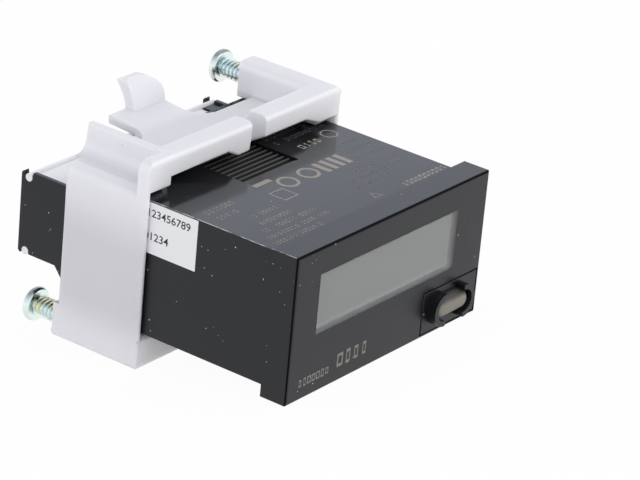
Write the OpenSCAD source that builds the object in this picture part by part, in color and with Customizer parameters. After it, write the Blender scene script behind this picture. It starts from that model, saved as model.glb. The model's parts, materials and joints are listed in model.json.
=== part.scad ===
// Panel counter, 48 x 24 front, with its clip-on flush mounting adapter.
// Millimetres. Origin at the centre of the panel cut-out, on the back face of the bezel.
// +X is to the right as the front is read, -Y is out of the front, +Z is up.

/* [Bezel] */
// Width of the bezel
bezel_w = 48; // [42:0.5:60]
// Height of the bezel
bezel_h = 24; // [21:0.2:32]
// Depth of the bezel in front of the panel
bezel_d = 4.8; // [4.6:0.1:7]
// Overlap of the bezel past the case at each side
bezel_lip_x = 1.6; // [1:0.1:3]
// Overlap of the bezel past the case at top and bottom
bezel_lip_z = 1; // [0.8:0.1:3]
// Rounding of the bezel's front edges
bezel_round = 0.5; // [0.2:0.1:0.9]
// Thickness of the bezel's front wall
front_t = 2.2; // [2.1:0.1:2.6]

/* [Case] */
// Depth of the case from the panel to its rear rim
case_d = 40.3; // [35:0.1:46]
// Thickness of the case walls
wall = 1.5; // [1.3:0.1:1.7]
// Free space round a piece that seats inside the case
seat_gap = 0.1; // [0.05:0.05:0.2]

/* [Display] */
// Distance from the bezel's left edge to the clear view on to the display
view_left = 6.7; // [5.4:0.1:9]
// Distance from the bezel's right edge to the view
view_right = 5.9; // [5.4:0.1:12]
// Distance from the bezel's top edge to the view
view_top = 4.8; // [4.2:0.05:6]
// Distance from the bezel's bottom edge to the view
view_bottom = 9; // [8.9:0.05:11]
// Border of the window plate round the view
window_border = 0.9; // [0.6:0.1:1.1]
// Thickness of the window plate
window_t = 1.4; // [0.8:0.1:1.5]
// Seam round a piece let into the front
seam = 0.08; // [0.04:0.02:0.12]
// Border of the display glass round the view
glass_border = 1; // [0.6:0.1:1.2]
// Thickness of the display glass
glass_t = 2; // [1.4:0.1:2.4]
// Distance from the display glass to the display board
strip_len = 2.6; // [1.6:0.1:3.4]
// Depth of each conductive rubber strip
strip_h = 1.6; // [1:0.1:2]
// Wall of the frame that holds the glass and the strips
holder_wall = 0.7; // [0.5:0.1:0.8]

/* [Reset key] */
// Distance from the bezel's right edge to the key's centre
key_in = 8.3; // [8:0.1:9]
// Distance from the bezel's bottom edge to the key's centre
key_up = 4.3; // [4.1:0.1:4.7]
// Length of the key
key_w = 8.3; // [7:0.1:8.6]
// Height of the key
key_h = 3.3; // [2.6:0.1:3.6]
// Distance the key stands out of the bezel
key_out = 1.5; // [1.2:0.1:2.5]
// Travel of the key
key_travel = 0.8; // [0.4:0.1:1]
// Free space round the key
key_gap = 0.22; // [0.15:0.01:0.4]
// Width of the rim that stops the key
key_rim = 0.7; // [0.4:0.1:0.8]
// Thickness of the collar horns round the key
horn_t = 0.85; // [0.6:0.05:1]
// Distance the collar horns stand out of the bezel
horn_out = 1.7; // [1.6:0.1:2.6]
// Gap between the two collar horns
horn_gap = 4.4; // [3:0.1:5.4]
// Width of the key surround
surround_w = 14.2; // [13.8:0.1:15]
// Height of the key surround
surround_h = 7.15; // [6.8:0.05:7.3]
// Gap round the key surround
surround_gap = 0.16; // [0.06:0.02:0.2]
// Bezel rim left beside and below the key surround
surround_rim = 0.5; // [0.4:0.1:0.8]
// Thickness of the key surround's plate
surround_t = 1.5; // [1.2:0.1:1.6]

/* [Ratchet] */
// Width of the ratchet on the case
ratchet_w = 13.4; // [11:0.2:16]
// Front end of the ratchet
ratchet_y = 19; // [16:0.5:21]
// Distance between ridges
ridge_pitch = 1.1; // [0.9:0.05:1.4]
// Height of the ridges
ridge_h = 0.45; // [0.3:0.05:0.5]
// Depth of the ratchet's channel
channel_d = 0.9; // [0.8:0.05:1]
// Height of the pawl teeth above the ridges
pawl_gap = 0.22; // [0.15:0.01:0.35]

/* [Adapter] */
// Free space between the adapter and the case
adapter_gap = 0.22; // [0.2:0.01:0.4]
// Thickness of the adapter's side walls
adapter_wall = 0.9; // [0.8:0.05:1.2]
// Thickness of the adapter's roof and floor
roof_t = 0.9; // [0.8:0.05:1.2]
// Front edge of the adapter's side walls
adapter_y = 24; // [22:0.5:26]
// Length of the adapter's side walls
adapter_len = 15.7; // [15:0.1:18]
// Rounding of the adapter's two shelf corners
shelf_round = 1.9; // [1.6:0.1:2]
// Height of the rails and lugs over the case
rise = 6; // [5.6:0.1:7]
// Distance from the wall's front edge to the roof behind the cross bar
bar_back = 4.1; // [3.8:0.1:4.6]
// Depth of the cross bar
bar_t = 3.4; // [3:0.1:3.6]
// Height of the cross bar
bar_h = 3.5; // [3.2:0.1:4]
// Distance from the adapter's side to the rail's outer face
rail_in = 5.7; // [5.4:0.1:6.6]
// Thickness of the rail
rail_t = 1.6; // [1.2:0.1:2]
// Width of a clamp lug
lug_w = 4.8; // [4.4:0.1:5.6]
// Distance the lugs and rails run past the side walls
lug_past = 1.3; // [0.6:0.1:2]
// Rounding of a lug's outer corners
lug_round = 1.4; // [0.8:0.1:1.8]
// Width of the release tongue
tongue_w = 11.4; // [10:0.2:13]
// Free length of the release tongue
tongue_len = 8.8; // [7:0.1:9.4]
// Height of the release tab over the tongue
tab_h = 4.6; // [4:0.1:6]
// Width of the release tab
tab_w = 7.5; // [6:0.1:8]

/* [Clamp screws] */
// Thread diameter of the clamp screws
clamp_d = 3; // [2.6:0.1:3.2]
// Length of the clamp screws under the head
clamp_len = 16.2; // [14:0.1:16.3]
// Head diameter of the clamp screws
clamp_head_d = 5.5; // [5:0.1:6]
// Head height of the clamp screws
clamp_head_h = 2.1; // [1.6:0.1:2.4]
// Distance from a lug to the screw head
clamp_back = 4.6; // [1:0.1:6]
// Radial play of a clamp screw in its lug
clamp_play = 0.05; // [0.02:0.01:0.1]

/* [Terminals] */
// Depth of the terminal block behind the case
block_d = 9.3; // [9:0.1:11]
// Top of the terminal block's cheeks
block_top = 7.7; // [7.4:0.1:8.2]
// Bottom of the terminal block's cheeks
block_bottom = -6; // [-6.4:0.1:-5.6]
// Thickness of the cheeks
cheek_t = 0.9; // [0.7:0.05:1.1]
// Number of terminals
terminals = 4; // [3:1:4]
// Width of the solid end of the terminal block
end_w = 2.8; // [2:0.1:3]
// Thickness of the barriers between the terminals
barrier_t = 1.2; // [0.8:0.1:1.6]
// Thread diameter of the terminal screws
term_d = 3; // [2.6:0.1:3.2]
// Free space beside a terminal plate
plate_side = 0.7; // [0.4:0.1:1]
// Thickness of the terminal plates and washers
plate_t = 0.8; // [0.6:0.05:0.9]
// Diameter of the cover's two snap rods
rod_d = 1.3; // [1.1:0.05:1.4]
// Thickness of the terminal cover
cover_t = 0.8; // [0.6:0.05:0.9]

/* [Inside] */
// Thickness of the boards
board_t = 1.2; // [0.8:0.1:1.6]
// Free height over the lithium cell
cell_room = 2.4; // [1:0.1:4]
// Length of the lithium cell
cell_len = 25; // [20:0.5:28]
// Length of the paper sticker
sticker_len = 14; // [10:0.5:16]
// Height of the paper sticker
sticker_h = 8.2; // [6:0.1:9]
// Thickness of the paper sticker
sticker_t = 0.08; // [0.04:0.02:0.1]

/* [Hidden] */
$fn = 48;
eps = 0.01;
over = 1;

// Case, bezel and the space inside them
front_y = -bezel_d;
case_x = bezel_w / 2 - bezel_lip_x;
case_z = bezel_h / 2 - bezel_lip_z;
inner_x = case_x - wall;
inner_z = case_z - wall;
inner_y = front_y + front_t;

// Display stack, from the window to the board
view_w = bezel_w - view_left - view_right;
view_h = bezel_h - view_top - view_bottom;
view_x = (view_left - view_right) / 2;
view_z = (view_bottom - view_top) / 2;
window_x = [view_x - view_w / 2 - window_border, view_x + view_w / 2 + window_border];
window_z = [view_z - view_h / 2 - window_border, view_z + view_h / 2 + window_border];
glass_x = [view_x - view_w / 2 - glass_border, view_x + view_w / 2 + glass_border];
glass_z = [view_z - view_h / 2 - glass_border, view_z + view_h / 2 + glass_border];
glass_y = [inner_y, inner_y + glass_t];
board_y = [glass_y[1] + strip_len, glass_y[1] + strip_len + board_t];
board_x = inner_x - seat_gap;
board_z = inner_z - seat_gap;
holder_x = [glass_x[0] - holder_wall, glass_x[1] + holder_wall];
holder_z = [glass_z[0] - holder_wall, min(glass_z[1] + holder_wall, board_z)];

// Key and its surround
key_x = bezel_w / 2 - key_in;
key_z = key_up - bezel_h / 2;
surround_x = [bezel_w / 2 - surround_rim - surround_w, bezel_w / 2 - surround_rim];
surround_z = [surround_rim - bezel_h / 2, surround_rim + surround_h - bezel_h / 2];
surround_back = front_y + surround_t;
rim_gap = 0.05;
rim_t = 0.6;
rim_y = [surround_back + rim_gap, surround_back + rim_gap + rim_t];
rim_room = 0.3;
stem_step = 0.45;
stem_d = key_h - 2 * stem_step;
pill_t = 0.4;
contact_gap = 0.05;
pill_y = board_y[0] - key_travel - contact_gap - pill_t;

// Ratchet channel in the case top and bottom; the shapes of ridge and tooth are shares of the pitch
channel_z = case_z - channel_d;
ridge_top = channel_z + ridge_h;
ridge_count = floor((case_d - ratchet_y) / ridge_pitch);
ridge_foot = 0.9;
ridge_crest = [0.55, 0.75];
tooth_z = ridge_top + pawl_gap;
tooth_crest = [0.1, 0.35];
tooth_count = 3;

// Adapter ring, bar, rails and lugs
hole_x = case_x + adapter_gap;
hole_z = case_z + adapter_gap;
side_x = hole_x + adapter_wall;
roof_z = hole_z + roof_t;
top_z = hole_z + rise;
wall_end = adapter_y + adapter_len;
lug_end = wall_end + lug_past;
bar_y = [adapter_y, adapter_y + bar_t];
bar_low = top_z - bar_h;
bar_round = 1.2;
bar_foot = 2.4;
foot_y = [adapter_y + bar_back, adapter_y + bar_back + bar_foot];
rail_x = [-side_x + rail_in, -side_x + rail_in + rail_t];
lug_x = side_x - lug_w;
clamp_x = side_x - lug_w / 2;
clamp_z = hole_z + rise / 2;
clamp_y = lug_end + clamp_back;
clamp_slot = 0.9;
roof_back = 1.7;
roof_end = wall_end - roof_back;
front_low = roof_z + 0.3;
lead_in = 1.3;
lead_y = adapter_y + lead_in;
post_end = -side_x + 5.3;
post_t = 2.1;
post_round = 2.2;
rail_foot = 2.4;
rail_drop = 0.4;
bar_ramp = 1.6;
bar_slit = 3.3;
lug_skin = 0.9;
lug_ramp = [4.2, 0.9];
nose_x = [-4.6, 1.1];
nose_ramp = [2.6, 0.6];
tongue_x = tongue_w / 2;
tongue_end = roof_end + tongue_len;
tongue_root = 1;
tongue_fillet = 3.6;
tongue_lift = 1;
tongue_thin = 0.9;
pawl_in = 1.2;
pawl_y = roof_end - pawl_in;
tab_x = [tongue_x - tab_w, tongue_x];
tab_t = 1.8;
tab_lean = 2.2;
tab_sink = 0.5;
tab_round = 0.9;
tab_base = roof_z + tongue_lift - tab_sink;
tab_top = roof_z + tongue_lift + tab_h;
tab_curve = [tab_w * 0.8, tab_h * 0.7];

// Terminal block and cover
block_x = case_x - seat_gap;
block_end = case_d + block_d;
bay_wall_t = 2.6;
block_wall = case_d + bay_wall_t;
flange_t = 3;
bay_x = block_x - cheek_t;
bay_mid = -end_w / 2;
terminal_pitch = (2 * bay_x - end_w) / terminals;
end_drop = 0.4;
cheek_round = 0.8;
cheek_bevel = 0.4;
cheek_slope = [1.8, 2.2];
term_x = [for (i = [0:terminals - 1]) bay_mid + (i - (terminals - 1) / 2) * terminal_pitch];
term_z = 1.4;
term_len = 6;
term_head_h = 1.9;
term_slot = 0.8;
term_room = 0.3;
plate_step = 1;
plate_w = terminal_pitch - barrier_t - 2 * plate_side;
washer_w = plate_w - plate_step;
term_head_d = washer_w - plate_step;
driver_d = term_head_d - term_room;
plate_gap = 0.3;
plate_low = 4.4;
plate_high = 4;
plate_z = [term_z - plate_low, term_z + plate_high];
plate_y = [block_wall + plate_gap, block_wall + plate_gap + plate_t];
washer_y = [plate_y[1], plate_y[1] + plate_t];
barrier_in = 2.3;
barrier_end = block_end - barrier_in;
rod_in = 1.5;
rod_down = 0.95;
rod_up = 0.5;
rod_y = block_end - rod_in;
rod_top = block_top - rod_down;
rod_low = block_bottom + rod_up;
rod_gap = 0.08;
bay_top = rod_top - rod_d / 2;
cover_gap = 0.12;
cover_in = 1.3;
cover_y = case_d + cover_in;
cover_x = [-bay_x + cover_gap, bay_x - end_w - cover_gap];
cover_z = [bay_top + cover_gap, bay_top + cover_gap + cover_t];

// Main board, cell and parts on the board
main_lift = 1.2;
main_gap = 0.4;
main_z = [-inner_z + main_lift, -inner_z + main_lift + board_t];
main_y = [board_y[1] + main_gap, case_d - flange_t - main_gap];
header_size = [20, 2.6, 2.5];
chip_size = [7, 6, 1.2];
chip_in = 3.8;
chip_back = 3;
chip_at = [chip_in - board_x, main_y[1] - chip_back - chip_size[1]];
part_count = 5;
part_pitch = 4;
part_size = [2, 1.2, 0.7];
part_in = 16.8;
part_back = 6;
part_at = [part_in - board_x, main_y[1] - part_back];
cell_d = 2 * inner_z - main_lift - board_t - cell_room;
cell_front = 4;
cell_y = main_y[0] + cell_front + cell_d / 2;
cell_z = main_z[1] + contact_gap + cell_d / 2;
tab_strip = 0.2;
strip_half = 2;
tail_w = 2.4;
tail_t = 0.6;
tail_back = 1.4;
tail_z = [plate_z[0], plate_z[0] + tail_t];
tail_y = main_y[1] - tail_back;

// Sticker on the left side
sticker_y = 15;
sticker_drop = 0.25;
sticker_z = [case_z - sticker_drop - sticker_h, case_z - sticker_drop];

// An outline in X and Z, carried from one Y to another
module along_y(y) {
  translate([0, y[1], 0]) rotate([90, 0, 0]) linear_extrude(y[1] - y[0]) children();
}

// An outline in Y and Z, carried from one X to another
module along_x(x) {
  translate([x[0], 0, 0]) rotate([90, 0, 90]) linear_extrude(x[1] - x[0]) children();
}

// An outline in X and Y, carried from one Z to another
module along_z(z) {
  translate([0, 0, z[0]]) linear_extrude(z[1] - z[0]) children();
}

// A box between pairs of coordinates
module block(x, y, z) {
  translate([x[0], y[0], z[0]]) cube([x[1] - x[0], y[1] - y[0], z[1] - z[0]]);
}

// A flat outline with straight sides and half-round ends, lying along its first axis
module stadium(w, h) {
  square([w - h, h], center = true);
  for (side = [-1, 1]) translate([side * (w - h) / 2, 0]) circle(d = h);
}

// Points along an arc
function arc(centre, r, from, to, steps) =
  [for (i = [0:steps])
    let (a = from + (to - from) * i / steps)
    centre + r * [cos(a), sin(a)]];

// Front half of a section whose two front corners are rounded, for a given half-width
function round_front(half, r) = concat(
  arc([-half + r, front_y + r], r, 180, 270, 4),
  arc([half - r, front_y + r], r, 270, 360, 4),
  [[half, 0], [-half, 0]]);

// Bezel plate with its front edges rounded
module bezel() {
  intersection() {
    along_z([-bezel_h / 2, bezel_h / 2]) polygon(round_front(bezel_w / 2, bezel_round));
    along_x([-bezel_w / 2, bezel_w / 2])
      polygon([for (p = round_front(bezel_h / 2, bezel_round)) [p[1], p[0]]]);
  }
}

// Ratchet ridges with a steep rear flank, in the channel on top of the case
module ridges() {
  along_x([-ratchet_w / 2, ratchet_w / 2])
    for (i = [0:ridge_count - 1])
      translate([ratchet_y + i * ridge_pitch, channel_z - eps])
        polygon([[0, 0], [ridge_pitch * ridge_foot, 0], [ridge_pitch * ridge_crest[1], ridge_h + eps],
                 [ridge_pitch * ridge_crest[0], ridge_h + eps]]);
}

// Bezel and sleeve in one moulding
module case() {
  color([0.16, 0.16, 0.17]) {
    difference() {
      union() {
        bezel();
        block([-case_x, case_x], [-eps, case_d], [-case_z, case_z]);
      }
      block([-inner_x, inner_x], [inner_y, case_d + over], [-inner_z, inner_z]);
      block(window_x, [front_y - over, front_y + window_t], window_z);
      translate([view_x - view_w / 2, front_y, view_z - view_h / 2]) cube([view_w, front_t + over, view_h]);
      block(surround_x, [front_y - over, surround_back], surround_z);
      translate([key_x, 0, key_z]) along_y([surround_back - over, inner_y + over])
        stadium(key_w + 2 * (key_rim + rim_room), key_h + 2 * (key_rim + rim_room));
      for (turn = [0, 180]) rotate([0, turn, 0])
        block([-ratchet_w / 2, ratchet_w / 2], [ratchet_y, case_d + over], [channel_z, case_z + over]);
    }
    for (turn = [0, 180]) rotate([0, turn, 0]) ridges();
  }
}

// Clear plate let into the front over the display
module display_window() {
  color([0.55, 0.58, 0.58, 0.5])
    block([window_x[0] + seam, window_x[1] - seam], [front_y, front_y + window_t],
          [window_z[0] + seam, window_z[1] - seam]);
}

// Liquid crystal glass, pressed against the inside of the front wall
module display_glass() {
  color([0.62, 0.64, 0.62]) block(glass_x, glass_y, glass_z);
}

// Frame round the glass and the contact strips, seated on the board
module glass_holder() {
  color([0.9, 0.9, 0.88])
    difference() {
      block(holder_x, [glass_y[0], board_y[0]], holder_z);
      block([glass_x[0] - seam, glass_x[1] + seam], [glass_y[0] - over, board_y[0] + over],
            [glass_z[0] - seam, glass_z[1] + seam]);
    }
}

// Two conductive rubber strips between the glass and the board
module contact_strips() {
  color([0.75, 0.45, 0.5])
    for (z = [glass_z[0], glass_z[1] - strip_h])
      block(glass_x, [glass_y[1], board_y[0]], [z, z + strip_h]);
}

// Upright board behind the display
module display_board() {
  color([0.1, 0.4, 0.2]) block([-board_x, board_x], board_y, [-board_z, board_z]);
}

// Pin header that joins the two boards
module board_header() {
  color([0.12, 0.12, 0.12])
    translate([-header_size[0] / 2, board_y[1], main_z[1]]) cube(header_size);
}

// Lower board that carries the cell and ends at the terminals
module main_board() {
  color([0.1, 0.4, 0.2]) block([-board_x, board_x], main_y, main_z);
}

// Counting circuit in a flat package
module counter_chip() {
  color([0.08, 0.08, 0.09]) translate([chip_at[0], chip_at[1], main_z[1]]) cube(chip_size);
}

// Small chip parts of the input circuit
module chip_parts() {
  color([0.7, 0.6, 0.45])
    for (i = [0:part_count - 1])
      translate([part_at[0] + i * part_pitch, part_at[1], main_z[1]]) cube(part_size);
}

// Lithium cell lying across the board
module lithium_cell() {
  color([0.3, 0.45, 0.6])
    translate([-cell_len / 2, cell_y, cell_z]) rotate([0, 90, 0]) cylinder(d = cell_d, h = cell_len);
}

// Welded strips from the cell's ends to the board
module cell_tabs() {
  color([0.8, 0.8, 0.78])
    for (x = [-cell_len / 2 - tab_strip, cell_len / 2])
      block([x, x + tab_strip], [cell_y - strip_half, cell_y + strip_half], [main_z[1], cell_z + strip_half]);
}

// Plate let into the front, with a horn round each end of the key
module key_surround() {
  color([0.15, 0.15, 0.16])
    difference() {
      union() {
        block([surround_x[0] + surround_gap, surround_x[1] - surround_gap], [front_y, surround_back],
              [surround_z[0] + surround_gap, surround_z[1] - surround_gap]);
        translate([key_x, 0, key_z]) along_y([front_y - horn_out, front_y + eps])
          difference() {
            stadium(key_w + 2 * (key_gap + horn_t), key_h + 2 * (key_gap + horn_t));
            square([horn_gap, key_h * 3], center = true);
          }
      }
      translate([key_x, 0, key_z]) along_y([front_y - horn_out - over, surround_back + over])
        stadium(key_w + 2 * key_gap, key_h + 2 * key_gap);
    }
}

// Rubber key with a rim behind the plate and a stem towards the board
module reset_key() {
  color([0.5, 0.48, 0.42])
    translate([key_x, 0, key_z]) {
      along_y([front_y - key_out, rim_y[0] + eps]) stadium(key_w, key_h);
      along_y(rim_y) stadium(key_w + 2 * key_rim, key_h + 2 * key_rim);
      along_y([rim_y[1] - eps, pill_y]) circle(d = stem_d);
    }
}

// Conductive pill on the end of the key's stem
module contact_pill() {
  color([0.1, 0.1, 0.1])
    translate([key_x, 0, key_z]) along_y([pill_y, pill_y + pill_t]) circle(d = stem_d);
}

// Outline of a cheek: notched for the cover's rods, sloped where it meets the case
module cheek_outline() {
  difference() {
    polygon(concat(
      [[case_d, block_bottom - cheek_slope[1]], [case_d + cheek_slope[0], block_bottom],
       [block_end - cheek_bevel, block_bottom], [block_end, block_bottom + cheek_bevel]],
      arc([block_end - cheek_round, block_top - cheek_round], cheek_round, 0, 90, 4),
      [[case_d, block_top]]));
    notch_w = rod_d + 2 * rod_gap;
    for (z = [rod_top, rod_low]) translate([rod_y, z]) circle(d = notch_w);
    translate([rod_y - notch_w / 2, rod_top]) square([notch_w, block_top - rod_top + over]);
    translate([rod_y - notch_w / 2, block_bottom - over]) square([notch_w, rod_low - block_bottom + over]);
  }
}

// Rear moulding: a flange inside the case, a wall, two cheeks, barriers and a solid end
module terminal_block() {
  color([0.14, 0.14, 0.15])
    difference() {
      union() {
        block([-inner_x + seat_gap, inner_x - seat_gap], [case_d - flange_t, case_d + eps],
              [-inner_z + seat_gap, inner_z - seat_gap]);
        block([-block_x, block_x], [case_d, block_wall], [block_bottom, bay_top]);
        block([-block_x, block_x], [case_d, cover_y - cover_gap], [block_bottom, block_top]);
        for (x = [-block_x, block_x - cheek_t]) along_x([x, x + cheek_t]) cheek_outline();
        for (i = [0:terminals - 2])
          translate([term_x[i] + terminal_pitch / 2, 0, 0])
            block([-barrier_t / 2, barrier_t / 2], [block_wall - eps, barrier_end], [block_bottom, bay_top]);
        block([bay_x - end_w, bay_x + eps], [case_d, barrier_end], [block_bottom, block_top - end_drop]);
      }
      for (x = term_x) {
        translate([x, case_d - flange_t - over, term_z]) rotate([-90, 0, 0])
          cylinder(d = term_d + term_room, h = block_wall - case_d + flange_t + 2 * over);
        block([x - tail_w / 2 - seam, x + tail_w / 2 + seam], [case_d - flange_t - over, block_wall + over],
              [tail_z[0] - seam, tail_z[1] + seam]);
      }
    }
}

// Terminal plates, each with a tail bent down on to the main board
module terminal_plates() {
  color([0.72, 0.7, 0.62])
    for (x = term_x)
      difference() {
        union() {
          block([x - plate_w / 2, x + plate_w / 2], plate_y, plate_z);
          block([x - tail_w / 2, x + tail_w / 2], [tail_y, plate_y[0] + eps], tail_z);
          block([x - tail_w / 2, x + tail_w / 2], [tail_y, tail_y + tail_t], [main_z[1], tail_z[1]]);
        }
        translate([x, plate_y[0] - over, term_z]) rotate([-90, 0, 0])
          cylinder(d = term_d + term_room, h = plate_t + 2 * over);
      }
}

// Square washers under the terminal screws
module terminal_washers() {
  color([0.75, 0.74, 0.7])
    for (x = term_x)
      difference() {
        block([x - washer_w / 2, x + washer_w / 2], washer_y, [term_z - washer_w / 2, term_z + washer_w / 2]);
        translate([x, washer_y[0] - over, term_z]) rotate([-90, 0, 0])
          cylinder(d = term_d + term_room, h = plate_t + 2 * over);
      }
}

// A pan-head screw whose head sits behind Y = 0 and whose shank runs forward
module pan_screw(d, len, head_d, head_h, slot_w) {
  tip = d / 6;
  dome = head_h * 0.55;
  slot_half = head_d * 0.3;
  slot_floor = head_h * 0.4;
  difference() {
    rotate([90, 0, 0]) rotate_extrude() polygon(concat(
      [[0, len], [d / 2 - tip, len], [d / 2, len - tip], [d / 2, 0], [head_d / 2, 0]],
      arc([head_d / 2 - dome, dome - head_h], dome, 0, -90, 5),
      [[0, -head_h]]));
    for (turn = [0, 90]) rotate([0, turn, 0])
      block([-slot_half, slot_half], [slot_floor, head_h + over], [-slot_w / 2, slot_w / 2]);
  }
}

// Terminal screws
module terminal_screws() {
  color([0.78, 0.77, 0.72])
    for (x = term_x)
      translate([x, washer_y[1], term_z]) pan_screw(term_d, term_len, term_head_d, term_head_h, term_slot);
}

// Translucent cover held by two rods that snap into the cheeks
module terminal_cover() {
  color([0.85, 0.86, 0.86, 0.7])
    difference() {
      union() {
        block(cover_x, [cover_y, rod_y], cover_z);
        block([-bay_x + cover_gap, bay_x - cover_gap], [rod_y, rod_y + cover_t], [rod_low, rod_top]);
        for (z = [rod_top, rod_low])
          translate([-block_x, rod_y, z]) rotate([0, 90, 0]) cylinder(d = rod_d, h = 2 * block_x);
      }
      for (x = term_x)
        translate([x, rod_y - over, term_z]) rotate([-90, 0, 0])
          cylinder(d = driver_d, h = cover_t + 2 * over);
    }
}

// Paper sticker on the left side of the case
module serial_sticker() {
  color([0.93, 0.93, 0.92])
    block([-case_x - sticker_t, -case_x], [sticker_y, sticker_y + sticker_len], sticker_z);
}

// Section of the adapter's ring: two rounded shelf corners, two corners that run on into lugs
module ring_outline() {
  difference() {
    union() {
      square([2 * side_x, 2 * (roof_z - shelf_round)], center = true);
      square([2 * (side_x - shelf_round), 2 * roof_z], center = true);
      for (side = [-1, 1]) {
        translate([-side * (side_x - shelf_round), side * (roof_z - shelf_round)]) circle(r = shelf_round);
        translate([side * (side_x - shelf_round / 2), side * (roof_z - shelf_round / 2)])
          square(shelf_round, center = true);
      }
    }
    square([2 * hole_x, 2 * hole_z], center = true);
  }
}

// Front edge of the roof: a lead-in under the post and the lug, and the bar's foot between them
module roof_front_cut() {
  polygon([[-hole_x, adapter_y - over], [-hole_x, lead_y], [post_end, lead_y],
           [post_end + bar_ramp, foot_y[0]], [lug_x, foot_y[0]], [lug_x, lead_y],
           [hole_x, lead_y], [hole_x, adapter_y - over]]);
}

// Section of the cross bar: its front upright and round at the top, its underside running back to the roof
module bar_outline() {
  polygon(concat([[foot_y[0], hole_z], [foot_y[1], hole_z], [foot_y[1], roof_z], [bar_y[1], top_z]],
                 arc([bar_y[0] + bar_round, top_z - bar_round], bar_round, 90, 180, 4),
                 [[bar_y[0], bar_low]]));
}

// Post seen from the front, rounded at its outer corner
module post_outline() {
  foot = roof_z - shelf_round;
  polygon(concat([[-side_x, foot]],
                 arc([-side_x + post_round, top_z - post_round], post_round, 180, 90, 6),
                 [[post_end + eps, top_z], [post_end + eps, roof_z - eps], [-hole_x, roof_z - eps],
                  [-hole_x, foot]]));
}

// Rail section with a hollow fillet at its outer foot
module rail_outline() {
  translate([rail_x[0], hole_z]) square([rail_t, rise - rail_drop]);
  difference() {
    translate([rail_x[0] - rail_foot, roof_z - eps]) square([rail_foot + eps, rail_foot]);
    translate([rail_x[0] - rail_foot, roof_z + rail_foot]) circle(r = rail_foot);
  }
}

// Lug section, round at its outer corners
module lug_outline() {
  r = lug_round;
  translate([lug_x, hole_z]) square([lug_w, rise - r]);
  translate([lug_x + r, hole_z]) square([lug_w - 2 * r, rise]);
  for (x = [lug_x + r, side_x - r]) translate([x, top_z - r]) circle(r = r);
}

// Plan of the release tongue, drawn in at its root by two hollow fillets
module tongue_plan() {
  translate([-tongue_x, roof_end - tongue_root]) square([tongue_w, tongue_len + tongue_root]);
  for (side = [-1, 1])
    difference() {
      translate([side > 0 ? tongue_x - eps : -tongue_x - tongue_fillet, roof_end - eps])
        square([tongue_fillet + eps, tongue_fillet]);
      translate([side * (tongue_x + tongue_fillet), roof_end + tongue_fillet]) circle(r = tongue_fillet);
    }
}

// Outline of the release tab seen from the front, high on one side and rounded off on the other
module tab_outline() {
  polygon(concat(
    [[tab_x[1], tab_base]],
    [for (a = [0:15:75]) [tab_x[1] - tab_curve[0] * (1 - cos(a)), tab_top - tab_curve[1] * (1 - sin(a))]],
    arc([tab_x[0] + tab_round, tab_top - tab_round], tab_round, 90, 180, 4),
    [[tab_x[0], tab_base]]));
}

// Side section of the release tab, curling backwards
module tab_section() {
  steps = 6;
  h = tab_top - tab_base;
  lean = [for (i = [0:steps]) tab_lean * pow(i / steps, 2)];
  front = [for (i = [0:steps]) [tongue_end - tab_t + lean[i], tab_base + h * i / steps]];
  rear = [for (i = [steps:-1:0]) [tongue_end + lean[i], tab_base + (h - tab_sink) * i / steps]];
  polygon(concat(front, rear));
}

// Upper half of the adapter: roof pieces, bar, rail, lug, tongue and pawl
module adapter_half() {
  // Cross bar with a slit beside its nose
  difference() {
    along_x([post_end, lug_x + lug_round]) bar_outline();
    block([nose_x[1], nose_x[1] + bar_slit], [adapter_y - over, foot_y[1] + over], [roof_z, top_z + over]);
  }
  // Post at the bar's free end, and the rail behind it
  intersection() {
    along_y([adapter_y, adapter_y + post_t]) post_outline();
    along_x([-side_x - over, post_end + over])
      polygon(concat([[wall_end, 0], [wall_end, top_z]],
                     arc([bar_y[0] + bar_round, top_z - bar_round], bar_round, 90, 180, 4),
                     [[adapter_y, 0]]));
  }
  along_y([adapter_y + post_t, lug_end]) rail_outline();
  // Lug with a lead-in under its front
  intersection() {
    along_y([adapter_y, lug_end]) lug_outline();
    along_x([lug_x - over, side_x + over])
      polygon(concat([[lead_y, hole_z - over], [lug_end, hole_z - over], [lug_end, top_z]],
                     arc([bar_y[0] + bar_round, top_z - bar_round], bar_round, 90, 180, 4),
                     [[adapter_y, front_low], [lead_y, hole_z]]));
  }
  // Nose over the ratchet, and the bar's deeper end beside the lug
  along_y(bar_y) {
    polygon([[nose_x[0], bar_low], [nose_x[0] + nose_ramp[0], front_low],
             [nose_x[1] - nose_ramp[1], front_low], [nose_x[1], bar_low],
             [nose_x[1], top_z - bar_round], [nose_x[0], top_z - bar_round]]);
    polygon([[lug_x - lug_ramp[0], bar_low], [lug_x - lug_ramp[1], front_low], [lug_x + eps, front_low],
             [lug_x + eps, top_z - bar_round], [lug_x - lug_ramp[0], top_z - bar_round]]);
  }
  // Tongue, rising a little to its free end
  intersection() {
    along_z([hole_z, roof_z + tongue_lift]) tongue_plan();
    along_x([-tongue_x - tongue_fillet, tongue_x + tongue_fillet])
      polygon([[roof_end - tongue_root, hole_z], [roof_end, hole_z],
               [tongue_end, hole_z + tongue_lift - tongue_thin], [tongue_end, roof_z + tongue_lift],
               [roof_end, roof_z], [roof_end - tongue_root, roof_z]]);
  }
  intersection() {
    along_y([tongue_end - tab_t - over, tongue_end + tab_lean + over]) tab_outline();
    along_x(tab_x) tab_section();
  }
  // Pawl teeth under the root of the tongue
  along_x([-tongue_x, tongue_x])
    for (i = [0:tooth_count - 1])
      translate([pawl_y + i * ridge_pitch, 0])
        polygon([[0, hole_z + roof_t / 2], [ridge_pitch * tooth_crest[0], tooth_z],
                 [ridge_pitch * tooth_crest[1], tooth_z], [ridge_pitch * ridge_foot, hole_z + roof_t / 2]]);
}

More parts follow.
